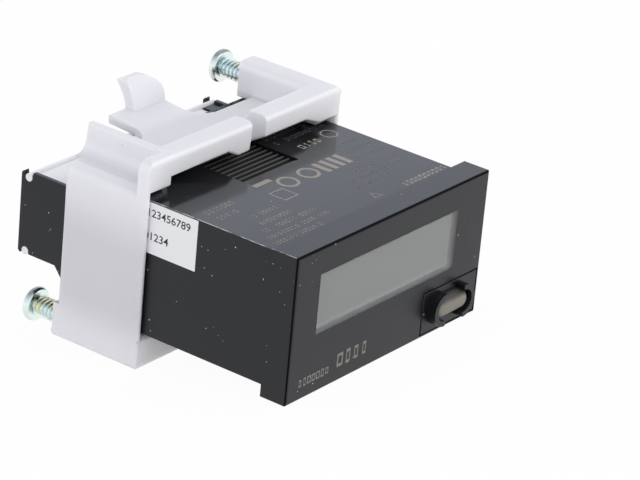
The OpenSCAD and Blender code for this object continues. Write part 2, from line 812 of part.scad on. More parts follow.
// White nylon frame that slides along the case and is the same when turned half round
module mounting_adapter() {
  color([0.9, 0.9, 0.92])
    difference() {
      union() {
        difference() {
          along_y([adapter_y, wall_end]) ring_outline();
          for (turn = [0, 180]) rotate([0, turn, 0]) {
            along_z([hole_z - over, roof_z + over]) roof_front_cut();
            block([rail_x[1], lug_x], [roof_end, wall_end + over], [hole_z - over, roof_z + over]);
          }
        }
        for (turn = [0, 180]) rotate([0, turn, 0]) adapter_half();
      }
      for (turn = [0, 180]) rotate([0, turn, 0]) translate([clamp_x, adapter_y + lug_skin, clamp_z])
        rotate([-90, 0, 0]) cylinder(d = clamp_d + 2 * clamp_play, h = lug_end - adapter_y);
    }
}

module clamp_screw() {
  translate([clamp_x, clamp_y, clamp_z])
    pan_screw(clamp_d, clamp_len, clamp_head_d, clamp_head_h, clamp_slot);
}

// Clamp screw in the upper right lug
module upper_clamp_screw() {
  color([0.72, 0.74, 0.7]) clamp_screw();
}

// Clamp screw in the lower left lug
module lower_clamp_screw() {
  color([0.72, 0.74, 0.7]) rotate([0, 180, 0]) clamp_screw();
}

case();
display_window();
display_glass();
glass_holder();
contact_strips();
display_board();
board_header();
main_board();
counter_chip();
chip_parts();
lithium_cell();
cell_tabs();
key_surround();
reset_key();
contact_pill();
terminal_block();
terminal_plates();
terminal_washers();
terminal_screws();
terminal_cover();
serial_sticker();
mounting_adapter();
upper_clamp_screw();
lower_clamp_screw();
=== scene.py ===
import json
import math

import bmesh
import bpy
from bpy.props import FloatProperty, FloatVectorProperty, IntProperty, PointerProperty
from bpy.types import Operator, Panel, PropertyGroup
from mathutils import Matrix, Vector


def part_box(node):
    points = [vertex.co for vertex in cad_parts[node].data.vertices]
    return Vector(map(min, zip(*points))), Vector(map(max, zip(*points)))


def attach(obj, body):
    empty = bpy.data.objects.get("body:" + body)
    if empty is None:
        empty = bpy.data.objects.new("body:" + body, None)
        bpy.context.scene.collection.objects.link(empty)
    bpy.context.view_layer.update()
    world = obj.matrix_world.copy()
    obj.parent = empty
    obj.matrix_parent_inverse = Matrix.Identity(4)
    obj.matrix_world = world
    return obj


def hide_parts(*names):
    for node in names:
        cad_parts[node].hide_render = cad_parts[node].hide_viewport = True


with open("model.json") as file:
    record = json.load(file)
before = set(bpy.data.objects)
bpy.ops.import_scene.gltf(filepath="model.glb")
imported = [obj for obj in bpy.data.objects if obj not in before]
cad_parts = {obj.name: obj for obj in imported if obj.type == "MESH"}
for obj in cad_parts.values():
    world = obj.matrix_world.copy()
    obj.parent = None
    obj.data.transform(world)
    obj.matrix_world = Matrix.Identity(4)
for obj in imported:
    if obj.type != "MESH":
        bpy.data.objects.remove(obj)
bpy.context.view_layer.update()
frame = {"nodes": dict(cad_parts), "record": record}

bl_info = {
    "name": "Panel Counter Looks",
    "version": (1, 0, 0),
    "blender": (4, 5, 0),
    "location": "3D View > Sidebar > Counter",
    "description": "Dresses a packed panel counter with its plastics, display, screws, print and stage",
    "category": "Object",
}

MM = 0.001
NODES = frame["nodes"]
SLOT_OF = {row["node"]: row["material_slot"] for row in frame["record"]["subparts"]}
BODY_OF = {node: body for body, nodes in frame["record"]["behaviour"]["bodies"].items() for node in nodes}

# Heights and widths of the solids
CASE_TOP = 11 * MM
CASE_SIDE = 22.4 * MM
THREAD_RADIUS = 1.5 * MM
CLAMP_HEAD = 2.1 * MM
TERMINAL_HEAD = 1.9 * MM
TERMINAL_RADIUS = 1.4 * MM
TERMINAL_STEP = 10 * MM

# Screws: shares of their own sizes, angles in degrees, and steps round and over the head
TIP_SHARE, TIP_CHAMFER = 0.72, 0.35 * MM
RIM_SHARE, RIM_START, RIM_TURN, RIM_STEPS, DOME_STEPS = 0.38, -50, 140, 12, 6
RECESS_FOOT, RECESS_ARM, RECESS_ARM_FOOT = 0.45, 0.24, 0.16
TERMINAL_TURN, TERMINAL_SEED = 1.5, 3

# Print: share of gaps, half the hollow in a block, and the least and most of a block's size
PRINT_GAPS, BLOCK_HOLLOW = 0.13, 0.3
BLOCK_LEAST, BLOCK_MOST = (0.3, 0.72, 1.0), (0.82, 1.0, 1.0)

# Floor, light and camera
LUG_FOOT = Vector((0.0, 24.0 * MM, -17.22 * MM))
FLOOR_REACH = 3.0
FLOOR_GAP = 0.02 * MM
LAMP_PLACE = Vector((0.12, -0.42, 0.5))
LAMP_AIM = Vector((0.0, 15 * MM, 0.0))
LAMP_WIDTH = 0.5
SKY_TINT, SHOWN_TINT, SHOWN_POWER = (0.97, 0.975, 1.0), (0.87, 0.915, 1.0), 1.15
VIEW_AIM = Vector((5.273, 12.568, 0.012)) * MM
VIEW_AXES = (Vector((0.60698, -0.79014, 0.08515)), Vector((0.27977, 0.31274, 0.90772)),
             Vector((-0.74385, -0.52714, 0.41088)))

# Distance within which corners merge, and angles between faces
WELD = 0.5e-6
FLAT_DEGREES, ROUND_DEGREES, SHARP_DEGREES = 0.4, 55.0, 52.0


# ---- sizes and colours

def length(name, description, default):
    """A length in metres, given in millimetres."""
    return FloatProperty(name=name, description=description, default=default * MM, min=0.0, precision=5,
                         subtype="DISTANCE", unit="LENGTH")


def colour(name, description, default):
    """A colour in linear light."""
    return FloatVectorProperty(name=name, description=description, default=default, size=3, min=0.0, max=1.0,
                               subtype="COLOR")


def factor(name, description, default):
    """A share between nought and one."""
    return FloatProperty(name=name, description=description, default=default, min=0.0, max=1.0, subtype="FACTOR")


class CounterSizes(PropertyGroup):
    """Sizes of the details that the solids leave plain."""

    case_edge: length("Case edge", "Width of the rounding on the black mouldings' edges", 0.2)
    adapter_edge: length("Adapter edge", "Width of the rounding on the white adapter's edges", 0.5)
    cover_edge: length("Cover edge", "Width of the rounding on the terminal cover's edges", 0.13)
    key_edge: length("Key edge", "Width of the rounding on the reset key's edges", 1.9)
    view_rim: length("View rim", "Border of the window round the opening behind it", 0.92)
    film_gap: length("Film gap", "Distance from the window to the display's film", 0.03)
    view_left: length("View left", "Clear view on to the display, left of the middle", 18.1)
    view_right: length("View right", "Clear view on to the display, right of the middle", 16.35)
    view_bottom: length("View bottom", "Clear view on to the display, below the middle", 2.07)
    view_top: length("View top", "Clear view on to the display, above the middle", 7.7)
    window_seam: length("Window seam", "Seam round the window that its sheet covers", 0.07)
    ratchet_half: length("Ratchet half", "Half the width of the ratchet's channel", 6.7)
    ratchet_start: length("Ratchet start", "Front end of the ratchet's channel", 18.5)
    groove_floor: length("Groove floor", "Height of the floor of the ratchet's channel", 10.1)
    ridge_crest: length("Ridge crest", "Height of the ratchet's crests", 10.55)
    thread_pitch: length("Thread pitch", "Rise of the clamp screws' thread in a turn", 0.75)
    thread_depth: length("Thread depth", "Depth of the clamp screws' thread", 0.22)
    recess_width: length("Recess width", "Width of the cross recess in a screw head", 3.0)
    recess_depth: length("Recess depth", "Depth of the cross recess in a screw head", 1.2)
    print_lift: length("Print lift", "Height of the print over the surface under it", 0.012)
    print_step: length("Print step", "Distance from one printed block to the next", 0.8)
    digit_height: length("Digit height", "Height of the digits on the sticker", 1.27)
    digit_step: length("Digit step", "Width that each digit on the sticker takes", 0.93)
    print_seed: IntProperty(name="Print seed", description="Seed of the blocks' widths and gaps", default=7, min=0)


class CounterColours(PropertyGroup):
    """Colours of the finishes."""

    case_black: colour("Case black", "Moulded case, bezel and terminal block", (0.006, 0.0061, 0.0067))
    display_grey: colour("Display grey", "Unlit liquid-crystal display", (0.265, 0.272, 0.268))
    key_grey: colour("Key grey", "Rubber of the reset key", (0.22, 0.205, 0.165))
    adapter_white: colour("Adapter white", "Nylon of the mounting adapter", (0.84, 0.838, 0.87))
    cover_white: colour("Cover white", "Translucent terminal cover", (0.9, 0.9, 0.92))
    sticker_white: colour("Sticker white", "Paper of the sticker", (0.84, 0.84, 0.85))
    ink_black: colour("Ink black", "Digits on the sticker", (0.012, 0.012, 0.014))
    print_tan: colour("Print tan", "Small print on the case", (0.26, 0.235, 0.19))
    print_grey: colour("Print grey", "Faint print on the case", (0.12, 0.12, 0.125))
    print_pale: colour("Print pale", "Large marks on the case", (0.36, 0.33, 0.28))
    zinc: colour("Zinc", "Plating of the clamp screws", (0.82, 0.92, 0.92))
    zinc_gold: colour("Zinc gold", "Yellow cast of the plating", (0.9, 0.87, 0.66))
    nickel: colour("Nickel", "Terminal screws, washers and cell tabs", (0.63, 0.61, 0.57))
    brass: colour("Brass", "Terminal plates", (0.62, 0.47, 0.22))
    board_green: colour("Board green", "Solder mask of the boards", (0.02, 0.13, 0.05))
    cell_blue: colour("Cell blue", "Sleeve of the cell", (0.06, 0.13, 0.28))


class CounterStage(PropertyGroup):
    """Light, floor and camera."""

    sky: factor("Sky", "Strength of the light from all round", 0.95)
    lamp: FloatProperty(name="Lamp", description="Power of the soft lamp over the front", default=0.7, min=0.0,
                        unit="POWER")
    floor_white: factor("Floor white", "Share of the floor that shows plain white to the camera", 0.96)
    floor_glow: factor("Floor glow", "Share of the floor that lights what stands on it evenly", 0.35)
    lens: FloatProperty(name="Lens", description="Focal length in millimetres", default=209.15, min=1.0)
    distance: length("Distance", "Distance of the camera from its aim", 569.69)


# ---- node building

class Value:
    """A number in a node tree. Sums on it add Math nodes."""

    def __init__(self, nodes, socket):
        self.nodes, self.socket = nodes, socket

    def out(self, name):
        """Another output of the same node."""
        return Value(self.nodes, self.socket.node.outputs[name])

    def math(self, operation, *others):
        return self.nodes.node("ShaderNodeMath", {"operation": operation}, dict(enumerate((self, *others))))

    def __rsub__(self, other):
        return self.nodes.node("ShaderNodeMath", {"operation": "SUBTRACT"}, {0: other, 1: self})

    def __add__(self, other): return self.math("ADD", other)
    def __sub__(self, other): return self.math("SUBTRACT", other)
    def __mul__(self, other): return self.math("MULTIPLY", other)
    def __truediv__(self, other): return self.math("DIVIDE", other)
    def __mod__(self, other): return self.math("FLOORED_MODULO", other)
    def __gt__(self, other): return self.math("GREATER_THAN", other)
    def __lt__(self, other): return self.math("LESS_THAN", other)
    def __abs__(self): return self.math("ABSOLUTE")
    __radd__, __rmul__ = __add__, __mul__


class Nodes:
    """A node tree, with one method for any node."""

    def __init__(self, tree):
        self.tree = tree

    def node(self, kind, settings=None, sockets=None, out=0):
        """Adds a node: its settings first, then the values or links of its sockets."""
        made = self.tree.nodes.new(kind)
        for name, value in (settings or {}).items():
            if name == "stops":
                ramp = made.color_ramp
                while len(ramp.elements) < len(value):
                    ramp.elements.new(1.0)
                for element, (place, tint) in zip(ramp.elements, value):
                    element.position, element.color = place, (*tint, 1.0)
            else:
                setattr(made, name, value)
        for name, value in (sockets or {}).items():
            if isinstance(value, Value):
                self.tree.links.new(value.socket, made.inputs[name])
            else:
                spot = made.inputs[name]
                wide = spot.type == "RGBA" and len(value) == 3
                spot.default_value = (*value, 1.0) if wide else value
        return Value(self, made.outputs[out] if made.outputs else None)

    def shown(self):
        """One for what the viewer sees straight, in a gloss or through glass."""
        seen = self.node("ShaderNodeLightPath", out="Is Camera Ray")
        return (seen + seen.out("Is Glossy Ray") + seen.out("Is Transmission Ray")) > 0.5


class Finish(Nodes):
    """One material. Its patterns read object coordinates, in metres."""

    def __init__(self, name):
        self.material = bpy.data.materials.new(name)
        self.material.use_nodes = True
        super().__init__(self.material.node_tree)
        self.tree.nodes.clear()
        self.spot = self.node("ShaderNodeTexCoord", out="Object")

    def axes(self, vector=None):
        """The three parts of a vector."""
        split = self.node("ShaderNodeSeparateXYZ", sockets={0: vector or self.spot}, out="X")
        return split, split.out("Y"), split.out("Z")

    def facing(self):
        """The three parts of the surface's own direction."""
        return self.axes(self.node("ShaderNodeTexCoord", out="Normal"))

    def noise(self, scale, detail=2.0, rough=0.5, vector=None):
        return self.node("ShaderNodeTexNoise", sockets={"Vector": vector or self.spot, "Scale": scale,
                                                        "Detail": detail, "Roughness": rough})

    def streaks(self, scale, detail=2.0, rough=0.5):
        """A noise with its own scale on each axis."""
        drawn = self.node("ShaderNodeMapping", sockets={"Vector": self.spot, "Scale": scale})
        return self.noise(1.0, detail, rough, drawn)

    def ease(self, value, low, high, start=0.0, end=1.0):
        """A soft step of a value from low to high."""
        return self.node("ShaderNodeMapRange", {"interpolation_type": "SMOOTHSTEP"},
                         {"Value": value, "From Min": low, "From Max": high, "To Min": start, "To Max": end})

    def mix(self, share, first, second):
        """A colour between two others."""
        return self.node("ShaderNodeMix", {"data_type": "RGBA"}, {0: share, 6: first, 7: second}, out=2)

    def specks(self, scale, size, share):
        """Small dust specks, in a share of the cells of a pattern that waves in and out of flat sides."""
        wave = self.node("ShaderNodeVectorMath", {"operation": "MULTIPLY_ADD"}, {
            0: self.noise(170.0).out("Color"), 1: (4.0 * MM,) * 3, 2: self.spot})
        cells = self.node("ShaderNodeTexVoronoi", sockets={"Vector": wave, "Scale": scale}, out="Distance")
        pick = self.node("ShaderNodeSeparateColor", sockets={0: cells.out("Color")})
        return (cells < size * (pick.out(1) + 0.5)) * (pick < share)

    def bump(self, height, depth, strength=1.0):
        """A bumped normal; depth in metres."""
        return self.node("ShaderNodeBump", sockets={"Strength": strength, "Distance": depth, "Height": height})

    def shader(self, **sockets):
        """A Principled shader; a socket's name has _ for each space."""
        return self.node("ShaderNodeBsdfPrincipled", sockets={k.replace("_", " "): v for k, v in sockets.items()})

    def coat(self, shade, rough, height, depth, strength=1.0, **others):
        """The material with one shader, from a colour, a roughness and a bump's height and depth in millimetres."""
        return self.done(self.shader(Base_Color=shade, Roughness=rough,
                                     Normal=self.bump(height, depth * MM, strength), **others))

    def dimmed(self, level, tint):
        """A colour at a level of up to two, because a Mix node stops its share at one."""
        return self.mix(level / 2, (0.0, 0.0, 0.0), [2 * c for c in tint])

    def lane(self, value, pitch):
        """Where a value lies in its own step of a pitch, from nought to one."""
        return (value % pitch) / pitch

    def blend(self, share, first, second):
        """A shader between two others."""
        return self.node("ShaderNodeMixShader", sockets={0: share, 1: first, 2: second})

    def done(self, shader):
        self.node("ShaderNodeOutputMaterial", sockets={"Surface": shader})
        return self.material


class Shape(Nodes):
    """A Geometry Nodes tree with named inputs, whose result becomes a plain mesh."""

    def __init__(self, name, **inputs):
        super().__init__(bpy.data.node_groups.new(name, "GeometryNodeTree"))
        face = self.tree.interface
        face.new_socket("Geometry", in_out="INPUT", socket_type="NodeSocketGeometry")
        for title, kind in inputs.items():
            face.new_socket(title, in_out="INPUT", socket_type="NodeSocket" + kind)
        face.new_socket("Geometry", in_out="OUTPUT", socket_type="NodeSocketGeometry")
        self.given = self.node("NodeGroupInput", out="Geometry")

    def vector(self, x, y, z):
        return self.node("ShaderNodeCombineXYZ", sockets={0: x, 1: y, 2: z})

    def attribute(self, name, kind):
        """A value that the base mesh carries on each point."""
        return self.node("GeometryNodeInputNamedAttribute", {"data_type": kind}, {"Name": name})

    def random(self, low, high, seed):
        """A random vector for each element."""
        return self.node("FunctionNodeRandomValue", {"data_type": "FLOAT_VECTOR"},
                         {0: low, 1: high, "Seed": seed})

    def joined(self, *parts):
        """Several geometries as one."""
        made = self.tree.nodes.new("GeometryNodeJoinGeometry")
        for part in parts:
            self.tree.links.new(part.socket, made.inputs[0])
        return Value(self, made.outputs[0])

    def close(self, geometry):
        """Ends the tree: instances made real, then the material."""
        real = self.node("GeometryNodeRealizeInstances", sockets={0: geometry})
        dressed = self.node("GeometryNodeSetMaterial", sockets={0: real, "Material": self.given.out("Material")})
        self.node("NodeGroupOutput", sockets={0: dressed})

    def piece(self, name, base, **values):
        """The tree's result on a base mesh, as a plain object."""
        made = new_object(name, base)
        modifier = made.modifiers.new("shape", "NODES")
        modifier.node_group = self.tree
        for item in self.tree.interface.items_tree:
            if item.in_out == "INPUT" and item.name in values:
                modifier[item.identifier] = values[item.name]
        mesh = evaluated(made)
        made.modifiers.clear()
        made.data = mesh
        mesh.name = name
        return made


# ---- mesh building

def new_object(name, mesh):
    """An object at the origin, linked to the scene."""
    made = bpy.data.objects.new(name, mesh)
    bpy.context.scene.collection.objects.link(made)
    return made


def evaluated(made):
    """The mesh of an object after its modifiers."""
    return bpy.data.meshes.new_from_object(made.evaluated_get(bpy.context.evaluated_depsgraph_get()))


def mesh_of(bm, name, material=None, smooth=40.0):
    """The mesh of a bmesh, smooth except at sharp edges."""
    mesh = bpy.data.meshes.new(name)
    bm.to_mesh(mesh)
    bm.free()
    mesh.shade_smooth()
    mesh.set_sharp_from_angle(angle=math.radians(smooth))
    if material:
        mesh.materials.append(material)
    return mesh


def settle(piece, body, slot, *nodes):
    """A finished piece rides on its body and stands for its nodes; its slot is not used."""
    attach(piece, body)
    if nodes:
        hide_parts(*nodes)
    return piece


def fixed(name, bm, material, slot, *nodes):
    """A piece of the counter's own body from a bmesh."""
    return settle(new_object(name, mesh_of(bm, name, material)), "counter", slot, *nodes)


def dress(node, material):
    """Gives a solid that keeps its shape a finish."""
    mesh = NODES[node].data
    mesh.materials.clear()
    mesh.materials.append(material)


def brick(name, low, high, material, slot, *nodes):
    """A box between two corners, fixed to the counter."""
    bm = bmesh.new()
    bmesh.ops.create_cube(bm, size=1.0)
    for vertex in bm.verts:
        vertex.co = Vector([b if side > 0 else a for a, b, side in zip(low, high, vertex.co)])
    return fixed(name, bm, material, slot, *nodes)


def even_normals(mesh, limit=50.0):
    """Corner normals that follow the larger faces round each corner and never turn far from their own face."""
    around = [[] for _ in mesh.vertices]
    for face in mesh.polygons:
        for corner in face.vertices:
            around[corner].append((face.normal.copy(), face.area))
    bend = math.cos(math.radians(limit))
    normals = []
    for face in mesh.polygons:
        for corner in face.vertices:
            total = sum((normal * area for normal, area in around[corner]
                         if normal.dot(face.normal) > bend), Vector())
            normals.append(total.normalized() if total.length > 0 else face.normal)
    mesh.normals_split_custom_set(normals)


def softened(node, width, material, choose=None, segments=2, reach=4.0):
    """A merged copy of a solid, with its long outer edges rounded, in its place."""
    bm = bmesh.new()
    bm.from_mesh(NODES[node].data)
    bmesh.ops.remove_doubles(bm, verts=bm.verts, dist=WELD)
    bmesh.ops.dissolve_limit(bm, angle_limit=math.radians(FLAT_DEGREES), verts=bm.verts, edges=bm.edges)
    sharp = [edge for edge in bm.edges
             if edge.is_convex and edge.calc_face_angle() > math.radians(ROUND_DEGREES)
             and edge.calc_length() > reach * width and (choose is None or choose(edge))]
    bmesh.ops.bevel(bm, geom=sharp, offset=width, offset_type="WIDTH", segments=segments, profile=0.5,
                    affect="EDGES", clamp_overlap=False, loop_slide=True)
    bmesh.ops.remove_doubles(bm, verts=bm.verts, dist=WELD)
    bmesh.ops.triangulate(bm, faces=[face for face in bm.faces if len(face.verts) > 4])
    piece = new_object(node + "_moulding", mesh_of(bm, node + "_moulding", material, SHARP_DEGREES))
    even_normals(piece.data)
    return settle(piece, BODY_OF[node], SLOT_OF[node], node)


def turned(name, profile, steps=48):
    """A closed turned solid about Z, from its (radius, height) points in metres."""
    bm = bmesh.new()
    rings = []
    for radius, height in profile:
        count = steps if radius > 0 else 1
        turns = [2 * math.pi * i / steps for i in range(count)]
        rings.append([bm.verts.new((radius * math.cos(t), radius * math.sin(t), height)) for t in turns])
    for low, high in zip(rings, rings[1:]):
        for i in range(steps):
            j = (i + 1) % steps
            corners = [low[i % len(low)], low[j % len(low)], high[j % len(high)], high[i % len(high)]]
            bm.faces.new(list(dict.fromkeys(corners)))
    bmesh.ops.recalc_face_normals(bm, faces=bm.faces)
    return mesh_of(bm, name)


def cross_recess(mesh, top, width, depth):
    """Cuts a tapering cross into the top of a turned solid."""
    body = new_object("recess_work", mesh)
    for turn in (0.0, math.pi / 2):
        bm = bmesh.new()
        bmesh.ops.create_cube(bm, size=1.0)
        for vertex in bm.verts:
            upper = vertex.co.z > 0
            vertex.co = Vector((vertex.co.x * width * (1.0 if upper else RECESS_FOOT),
                                vertex.co.y * width * (RECESS_ARM if upper else RECESS_ARM_FOOT),
                                top + (0.1 * MM if upper else -depth)))
        bmesh.ops.rotate(bm, verts=bm.verts, cent=(0, 0, 0), matrix=Matrix.Rotation(turn, 3, "Z"))
        cutter = new_object("recess_blade", mesh_of(bm, "recess_blade"))
        cut = body.modifiers.new("recess", "BOOLEAN")
        cut.object, cut.operation, cut.solver = cutter, "DIFFERENCE", "EXACT"
        body.data = evaluated(body)
        body.modifiers.clear()
        bpy.data.objects.remove(cutter)
    made = body.data
    bpy.data.objects.remove(body)
    made.shade_smooth()
    made.set_sharp_from_angle(angle=math.radians(40))
    return made


def screw_profile(radius, shank, head_radius, head_height):
    """Outline of a pan-head screw from its tip up, as (radius, height) points."""
    round_off = RIM_SHARE * head_height
    points = [(0.0, 0.0), (radius * TIP_SHARE, 0.0), (radius, TIP_CHAMFER), (radius, shank)]
    for i in range(RIM_STEPS + 1):
        turn = math.radians(RIM_START + RIM_TURN * i / RIM_STEPS)
        points.append((head_radius - round_off + round_off * math.cos(turn),
                       shank + round_off * (math.sin(turn) - math.sin(math.radians(RIM_START)))))
    edge_radius, edge_height = points[-1]
    for i in range(1, DOME_STEPS):
        part = i / DOME_STEPS
        points.append((edge_radius * (1 - part),
                       edge_height + (shank + head_height - edge_height) * (1 - (1 - part) ** 2)))
    points.append((0.0, shank + head_height))
    return points


# ---- finishes

SATIN = {"rough": 0.34, "depth": 0.012 * MM, "dust": 0.42, "IOR": 1.43, "Specular_Tint": (0.9, 0.92, 1.0, 1.0)}
POLISHED = {"rough": 0.07, "depth": 0.0006 * MM, "dust": 0.12, "IOR": 1.6,
            "Specular_Tint": (0.84, 0.88, 1.0, 1.0)}


def shades(tint, low, high):
    """A darker and a paler shade of a colour."""
    return [c * low for c in tint], [min(c * high, 1.0) for c in tint]


def grained(f, tint, rough, depth, dust, **constants):
    """Black plastic with a fine grain, slow changes of gloss and patches of dust."""
    grain, flow = f.noise(7000.0, 3.0, 0.6), f.noise(160.0)
    fallen = f.specks(900.0, 0.062, dust) * (f.noise(120.0, 1.0) > 0.52)
    shade = f.mix(flow, *shades(tint, 0.8, 1.3))
    return f.shader(Base_Color=f.mix(fallen, shade, (0.6, 0.6, 0.59)), Roughness=rough + 0.05 * flow + 0.4 * fallen,
                    Normal=f.bump(grain, depth, 0.6), **constants)


def moulded_black(name, tint, smooth_top, ratchet=None):
    """Black moulded plastic with grained sides, a smooth top, front edges in painted shade, a painted highlight on
    the edges between the top and the sides, and dull ratchet grooves in painted shade with painted highlights on
    their crests.
    """
    f = Finish(name)
    x, y, z = f.axes()
    side, ahead, rise = f.facing()
    gloss = f.ease(y, -0.1 * MM, 0.1 * MM, 0.52, 0.8) + f.ease(y, 0.0, 11.0 * MM, 0.0, 0.2)
    up = f.ease(rise, 0.6, 0.95) * gloss * smooth_top
    skin = f.blend(up, grained(f, tint, **SATIN), grained(f, tint, **POLISHED))
    if ratchet:
        upper, outer = f.ease(rise, 0.25, 0.4), f.ease(abs(side), 0.25, 0.4)
        front = f.ease(ahead, -0.4, -0.25, 1.0, 0.0)
        patchy = f.noise(420.0)
        # painted shade: a dark, dull skin on the front edges
        dark = f.shader(Base_Color=(0.003, 0.003, 0.0035), Roughness=0.5 + 0.1 * patchy, IOR=1.12)
        # painted highlight: a pale grey on the edges between the top and the sides
        wear_and_highlight = f.shader(Base_Color=f.mix(f.ease(patchy, 0.4, 0.6), (0.1, 0.1, 0.104), (0.5, 0.5, 0.51)),
                        Roughness=0.4 + 0.1 * patchy)
        skin = f.blend(front * f.ease(upper + outer, 0.0, 1.0), skin, dark)
        skin = f.blend(upper * outer * (1 - front) * (abs(x) > CASE_SIDE - 1.0 * MM), skin, wear_and_highlight)
        half, start, floor, crest = ratchet
        # painted shade in the ratchet's grooves, with a painted highlight on the crests
        deep = (abs(x) < half) * (y > start) * (abs(z) > floor) * (abs(z) < CASE_TOP - 0.12 * MM)
        ridge = f.ease(abs(z), crest - 0.1 * MM, crest)
        fine = f.noise(5000.0)
        dull = f.shader(Base_Color=f.mix(ridge, (0.003, 0.003, 0.003), (0.09, 0.085, 0.078)),
                        Roughness=0.6 + 0.1 * fine, Normal=f.bump(fine, 0.004 * MM), IOR=1.25)
        skin = f.blend(deep, skin, dull)
    return f.done(skin)


def clear_window(name, tint, view):
    """Clear plate that bends and reflects light, its front printed black round the view."""
    f = Finish(name)
    left, right, bottom, top = view
    x, y, z = f.axes()
    inside = (x > left) * (x < right) * (z > bottom) * (z < top)
    printed = (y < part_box("display_window")[0].y + 0.05 * MM) * (1 - inside)
    haze = f.noise(300.0)
    clear = f.shader(Base_Color=(0.97, 0.975, 0.97), Roughness=0.012 * haze, IOR=1.47, Transmission_Weight=1.0)
    return f.done(f.blend(printed, clear, grained(f, tint, **SATIN)))


def display_glass(name, tint):
    """Unlit display: grey reflector behind a polariser, paler to two edges by painted light, and in faint columns.
    """
    f = Finish(name)
    _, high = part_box("display_glass")
    x, _, z = f.axes()
    # painted light: paler towards the right and bottom edges, where the printed border shades the film
    pale = f.ease(x, high.x - 4.6 * MM, high.x - 2.0 * MM) + f.ease(z, -2.6 * MM, -0.2 * MM, 1.0, 0.0)
    columns = f.streaks((420.0, 1.0, 60.0))
    fibre = f.noise(5000.0)
    level = 1.05 + 0.7 * pale - 0.1 * columns
    return f.coat(f.dimmed(level, tint), 0.46 + 0.06 * fibre, fibre, 0.001, 0.3, Specular_IOR_Level=0.3)


def key_rubber(name, tint):
    """Silicone rubber of the key, with a fine skin, rubbed patches and painted shade along its upper side."""
    f = Finish(name)
    skin = f.noise(9000.0, 3.0, 0.6)
    rub = f.noise(900.0)
    low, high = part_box("reset_key")
    middle = (low.z + high.z) / 2
    # painted shade: the upper side of the key darkened towards near black
    painted_upper_shade = f.ease(f.axes()[2] + 0.0004 * rub, middle + 0.75 * MM, middle + 1.5 * MM, 0.0, 0.85)
    clean = f.mix(rub, *shades(tint, 0.9, 1.1))
    return f.coat(f.mix(painted_upper_shade, clean, (0.03, 0.03, 0.03)), 0.5 + 0.12 * rub, skin, 0.01, 0.5)


def nylon_white(name, tint):
    """White nylon: light sinks in, painted shade dims the thin walls and roof over the black case and the upward
    faces, painted light brightens the front faces, and its skin is satin.
    """
    f = Finish(name)
    skin = f.noise(6500.0, 3.0, 0.6)
    flow = f.streaks((90.0, 220.0, 90.0), 3.0)
    dirt = f.specks(380.0, 0.04, 0.04)
    x, y, z = f.axes()
    # painted shade on the outer side walls over the black case, darkest across the middle and lighter towards the
    # top and the bottom
    painted_wall_shade = f.ease(abs(x), CASE_SIDE - 0.2 * MM, CASE_SIDE) * f.ease(z, 1.0 * MM, CASE_TOP, 1.0, 0.0)
    painted_wall_shade = painted_wall_shade * f.ease(z, -CASE_TOP - 4.0 * MM, -CASE_TOP + 3.0 * MM, 0.2, 1.0)
    # painted shade on the roof just over the case top
    painted_roof_shade = f.ease(abs(z), CASE_TOP + 1.15 * MM, CASE_TOP + 1.5 * MM, 1.0, 0.0) * (abs(x) < CASE_SIDE - 1.0 * MM)
    _, ahead, rise = f.facing()
    front = f.ease(ahead, -0.9, -0.5, 1.0, 0.0) * f.ease(y, 31.0 * MM, 32.0 * MM, 1.0, 0.0)
    # painted light and shade: upward faces darker, front faces lighter
    lit = 1 - 0.13 * f.ease(rise, 0.5, 0.9) + 0.12 * front
    level = (0.965 + 0.06 * flow) * lit * (1 - 0.21 * painted_wall_shade - 0.1 * painted_roof_shade)
    shade = f.dimmed(level, tint)
    return f.coat(f.mix(dirt, shade, (0.45, 0.43, 0.4)), 0.4 + 0.1 * flow, skin, 0.006, 0.4,
                  Subsurface_Weight=0.55, Subsurface_Radius=(1.0, 0.97, 0.94), Subsurface_Scale=1.1 * MM)


def milky_cover(name, tint):
    """Milky translucent cover."""
    f = Finish(name)
    flow = f.streaks((160.0, 260.0, 160.0))
    skin = f.noise(5000.0)
    shade = f.mix(flow, *shades(tint, 0.95, 1.02))
    return f.coat(shade, 0.24 + 0.1 * flow, skin, 0.006, 0.4, Alpha=0.89 + 0.06 * flow)


def bright_zinc(name, tint, cast, head):
    """Zinc-plated screw: blue-white head with painted reflections that darken it to its upper rim, and a shank with
    a yellow cast.
    """
    f = Finish(name)
    _, y, _ = f.axes()
    _, ahead, rise = f.facing()
    cloud, wear = f.noise(420.0), f.noise(4200.0, 3.0)
    shank = f.ease(y, head - 0.05 * MM, head, 1.0, 0.0)
    # painted reflection: a grey for each height of the surface's direction, bright on the sides and dark near the
    # upper rim, left off the underside
    painted_reflection_greys = ((0.0, 0.88), (0.4, 0.9), (0.62, 1.0), (0.76, 0.74), (0.9, 0.28), (1.0, 0.42))
    stops = [(place, (grey,) * 3) for place, grey in painted_reflection_greys]
    level = f.node("ShaderNodeValToRGB", {"stops": stops}, {0: rise * 0.5 + 0.5})
    under = f.ease(ahead, -0.9, -0.6, 1.0, 0.0)
    plain = f.mix(f.ease(cloud, 0.4, 0.62) * (0.25 + 0.6 * shank), tint, cast)
    shade = f.node("ShaderNodeMix", {"data_type": "RGBA", "blend_type": "MULTIPLY"},
                   {0: 1 - under, 6: plain, 7: level}, out=2)
    return f.coat(shade, 0.2 + 0.08 * wear, wear, 0.0015, 0.4, Metallic=1.0)


def plated(name, tint, cast, rough):
    """Bright nickel, with a slow change of colour and fine turning marks."""
    f = Finish(name)
    tone = f.ease(f.noise(900.0, 3.0), 0.38, 0.66)
    fine = f.streaks((2500.0, 14000.0, 2500.0))
    wear = f.noise(4200.0, 4.0, 0.7)
    return f.coat(f.mix(tone * 0.75, tint, cast), rough + 0.12 * wear, fine, 0.004, 0.5, Metallic=1.0)


